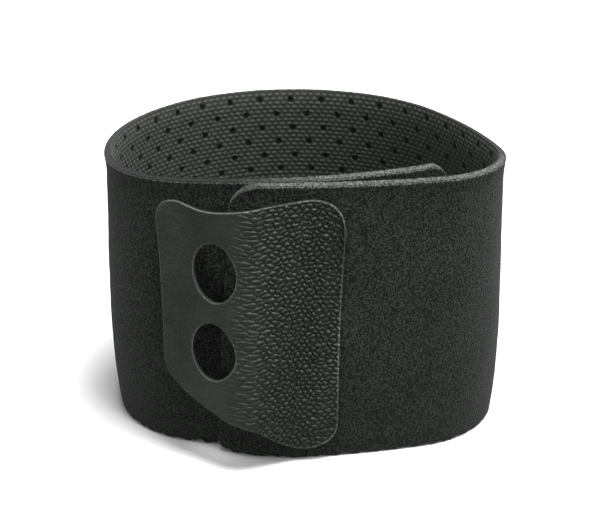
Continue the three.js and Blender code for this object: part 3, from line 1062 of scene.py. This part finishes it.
# columns crowd together towards both ends and are coarser where the leather is smooth
crowding = 1 - np.cos(np.linspace(0, np.pi / 2, 21))
columns = np.concatenate([
    TAB_LEFT + 6 * crowding[:-1],
    np.linspace(TAB_LEFT + 6, STRETCHED[0] + 6, 38)[:-1],
    np.arange(STRETCHED[0] + 6, TAB_RIGHT - 6, STEP_U),
    TAB_RIGHT - 6 * crowding[::-1],
])
count_z = round(60 / STEP_Z)
t = np.linspace(0, 1, count_z + 1)[None, :]
low = np.interp(columns, TAB_LOWER[:, 0], TAB_LOWER[:, 1])[:, None]
high = np.interp(columns, TAB_UPPER[:, 0], TAB_UPPER[:, 1])[:, None]
z = low + (high - low) * t
u = np.broadcast_to(columns[:, None], z.shape)
u, z, keep = snapped(u, z)
cut = distance_to(u, z, outline)

grain_amount = 0.04 + 0.96 * smooth(*GRAIN_FADE, u)
along = stretch(u) + 0.25 * np.sin(z * 1.7) + 0.2 * np.sin(z * 0.6 + u)
up = z + 0.2 * np.sin(along * 1.3)
grain = pebbles(along, up, PEBBLE, 11) * 0.9 + pebbles(along, up, FINE_PEBBLE, 12) * 0.1
relief = GRAIN_DEPTH * grain_amount * (grain - 1) * (0.3 + 0.7 * smooth(0.0, 0.8, cut))
half = LEATHER / 2 - 0.6 * rolled(cut, 0.3)
front = tab_point(u, z, half + relief)
back = tab_point(u, z, -half)
print("tab grid:", z.shape, "deepest crease:", relief.min().round(2), "mm")

# %% [markdown]
# ### Closing the leather
#
# A wall of quads joins the faces along every open edge, outside and in the holes, in two steps,
# so that the pale line of the raw edge, partly a painted highlight, can end close to the front.


# %% Close the sheet
def cut_sheet(front, back, keep):
    """Points and faces of a sheet with holes: two faces and a wall along every open edge.

    An edge of a kept cell is open if no kept cell uses it the other way round. A third sheet of
    points lies a fifth of the way to the back. Also returns which of all points are used.
    """
    m, n = front.shape[0] - 1, front.shape[1] - 1
    size = (m + 1) * (n + 1)
    # u runs against s, so the winding is turned to face outwards
    quads = grid_quads(m, n)[keep.ravel()][:, ::-1]
    starts = quads.ravel()
    ends = np.roll(quads, -1, axis=1).ravel()
    is_open = ~np.isin(ends * size + starts, starts * size + ends)
    a, b = starts[is_open], ends[is_open]
    middle = front.reshape(-1, 3) * 0.8 + back.reshape(-1, 3) * 0.2
    points = np.concatenate([front.reshape(-1, 3), middle, back.reshape(-1, 3)])
    upper = np.stack([b, a, a + size, b + size], -1)
    lower = np.stack([b + size, a + size, a + 2 * size, b + 2 * size], -1)
    faces = np.concatenate([quads, quads[:, ::-1] + 2 * size, upper, lower])
    used, faces = np.unique(faces, return_inverse=True)
    return points[used], faces.reshape(-1, 4), used


points, quads, used = cut_sheet(front, back, keep)
print("tab quads:", len(quads))

# %% [markdown]
# ### What the leather's finish reads
#
# Four values go on to the points. They come from the same arrays as the relief, so colour and
# shape can't drift apart, as a separate noise in the material would. Then the tab is baked in
# place, on no body, and the CAD nodes that it stands for are hidden.


# %% Stored values and placing
def stored(*sheets):
    """Values for the points used, from a grid or a number for each of the three sheets."""
    return np.concatenate([np.broadcast_to(sheet, z.shape).ravel() for sheet in sheets])[used]


# the pale raw edge carries a painted highlight: widest at the lit right, and painted dull as
# shade at the pull end, by the foot and in the holes
raw_edge_and_light = smooth(0.28, 0.08, cut - 0.25 * smooth(-10.0, 5.0, u))
raw_edge_and_light = raw_edge_and_light * (0.3 + 0.7 * smooth(-42.0, -34.0, u))
raw_edge_and_light = raw_edge_and_light * (1 - 0.7 * smooth(3.0, 1.0, z - low) * smooth(6.0, 0.0, u))
by_holes = (np.abs(u - FINGER_HOLE["u"]) < 8.5) & (z > 24) & (z < 62)
raw_edge_and_light = np.where(by_holes, 0.5 * raw_edge_and_light, raw_edge_and_light)
# a pebble's upper shoulder is where the grain falls steeply as z rises
fall = -np.gradient(grain, axis=1) / np.gradient(z, axis=1)
dome = grain_amount * grain
values = {
    "cut": stored(raw_edge_and_light, 0.1, 0.0),
    "dome": stored(dome, dome, dome),
    # a painted highlight on the pebbles' upper shoulders, where a lamp above would catch them
    "painted_highlight": stored(grain_amount * smooth(0.6, 1.7, fall), 0.0, 0.0),
    "wall": stored(0.0, 1.0, 1.0),
}
tab = add_piece("pull_tab", points, [quads], leather, values, 50.0)
begin, finish = tab_point([3.0, -4.0], 40.0, 0.0)
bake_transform(tab)
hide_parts("tab_root_leather", "pull_tab_leather")

# %% [markdown]
# ## Hook tape
#
# Under the outer end lies a moulded tape of small nylon hooks. It is hidden while the band is
# closed and shows when the end is peeled up. Its base is a closed sheet like the layers.

# %% Tape base
TAPE = {"start": 335.0, "end": 361.0, "low": 6.5, "high": 68.5, "back": -1.24, "base": 0.3}
HOOK_PITCH = (1.5, 1.7)
HOOK_HEIGHT = 0.55

s = np.linspace(TAPE["start"], TAPE["end"], 53)[:, None]
z = np.linspace(TAPE["low"], TAPE["high"], 63)[None, :]
s, z = np.broadcast_arrays(s, z)
face = strip_point(s, z, TAPE["back"] - TAPE["base"])
back = strip_point(s, z, TAPE["back"])
points, faces = closed_sheet(face[::-1], back[::-1], 1)
print("tape base:", len(points), "points")

# %% [markdown]
# ### One hook
#
# A hook is a bent, tapering rod with a square section and some twenty faces. Each section lies
# across the rod's direction at its point, which keeps the rod's width round the bend.

# %% One hook
# along, up and out of points on the rod's middle line, and half its width there
path = np.array([
    (0.0, 0.0, -0.05, 0.2), (0.0, 0.0, 0.25, 0.14), (0.03, 0.0, 0.42, 0.12),
    (0.12, 0.0, 0.52, 0.11), (0.24, 0.0, 0.50, 0.10), (0.32, 0.0, 0.38, 0.08),
])
square = np.array([(-1, -1), (1, -1), (1, 1), (-1, 1)], float)
tangent = np.gradient(path[:, :3], axis=0)
tangent /= np.linalg.norm(tangent, axis=1, keepdims=True)
across = np.stack([tangent[:, 2], np.zeros(len(path)), -tangent[:, 0]], -1)
rod = (
    path[:, None, :3]
    + across[:, None, :] * square[None, :, :1] * path[:, None, 3:]
    + np.array([0.0, 1.0, 0.0]) * square[None, :, 1:] * path[:, None, 3:]
)
ring = np.arange(4)
k = np.arange(len(path) - 1)[:, None]
rod_quads = np.stack(
    [k * 4 + ring, k * 4 + (ring + 1) % 4, (k + 1) * 4 + (ring + 1) % 4, (k + 1) * 4 + ring], -1,
).reshape(-1, 4)
last = (len(path) - 1) * 4
rod_quads = np.concatenate([rod_quads, [[3, 2, 1, 0], [last, last + 1, last + 2, last + 3]]])
print("faces of one hook:", len(rod_quads))

# %% [markdown]
# ### Rows of hooks
#
# numpy repeats the hook in rows that face opposite ways, as such tape is moulded, so that it
# holds whichever way it is pulled. All hooks and the base are one piece.

# %% Rows of hooks
hook_s, hook_z = np.meshgrid(
    np.arange(TAPE["start"] + 0.9, TAPE["end"] - 0.9, HOOK_PITCH[0]),
    np.arange(TAPE["low"] + 0.9, TAPE["high"] - 0.6, HOOK_PITCH[1]),
    indexing="ij",
)
way = np.where(np.arange(hook_s.shape[0]) % 2 == 0, 1.0, -1.0)[:, None]
way = np.broadcast_to(way, hook_s.shape).reshape(-1, 1)
rod = rod.reshape(-1, 3)
place_s = hook_s.reshape(-1, 1) + way * rod[None, :, 0]
place_z = hook_z.reshape(-1, 1) + way * rod[None, :, 1]
place_out = TAPE["back"] - TAPE["base"] - rod[None, :, 2] * HOOK_HEIGHT / path[:, 2].max()
hooks = strip_point(place_s, place_z, place_out)
hook_faces = rod_quads[None] + (np.arange(hooks.shape[0]) * rod.shape[0])[:, None, None]
first = len(points)
points = np.concatenate([points, hooks.reshape(-1, 3)])
faces.append(hook_faces.reshape(-1, 4) + first)
tape = add_piece("hook_tape_moulding", points, faces, hook)
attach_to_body(tape, "closure_end")
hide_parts("hook_tape")
print("hooks:", hooks.shape[0])

# %% [markdown]
# ## Floor
#
# A large white floor carries the strap's soft shadow and fills the picture behind it. To the
# light that it throws back it is a dark grey, for a strap this black gets little from below.

# %% Floor
FLOOR_SEEN = (0.95, 0.95, 0.95, 1.0)
FLOOR_FOR_LIGHT = (0.1, 0.1, 0.1, 1.0)
floor_mesh = bpy.data.meshes.new("floor")
corners = [(-4, -3, 0), (4, -3, 0), (4, 6, 0), (-4, 6, 0)]
floor_mesh.from_pydata(corners, [], [(0, 1, 2, 3)])
floor = bpy.data.objects.new("floor", floor_mesh)
bpy.context.scene.collection.objects.link(floor)
floor_finish, shader, place = start_material("floor_white", 0.9, 0.0, 0.1)
seen = seen_rays(place)
feed(floor_finish, seen.between(FLOOR_FOR_LIGHT, FLOOR_SEEN), shader, "Base Color")
floor_mesh.materials.append(floor_finish)
report(floor_finish)

# %% [markdown]
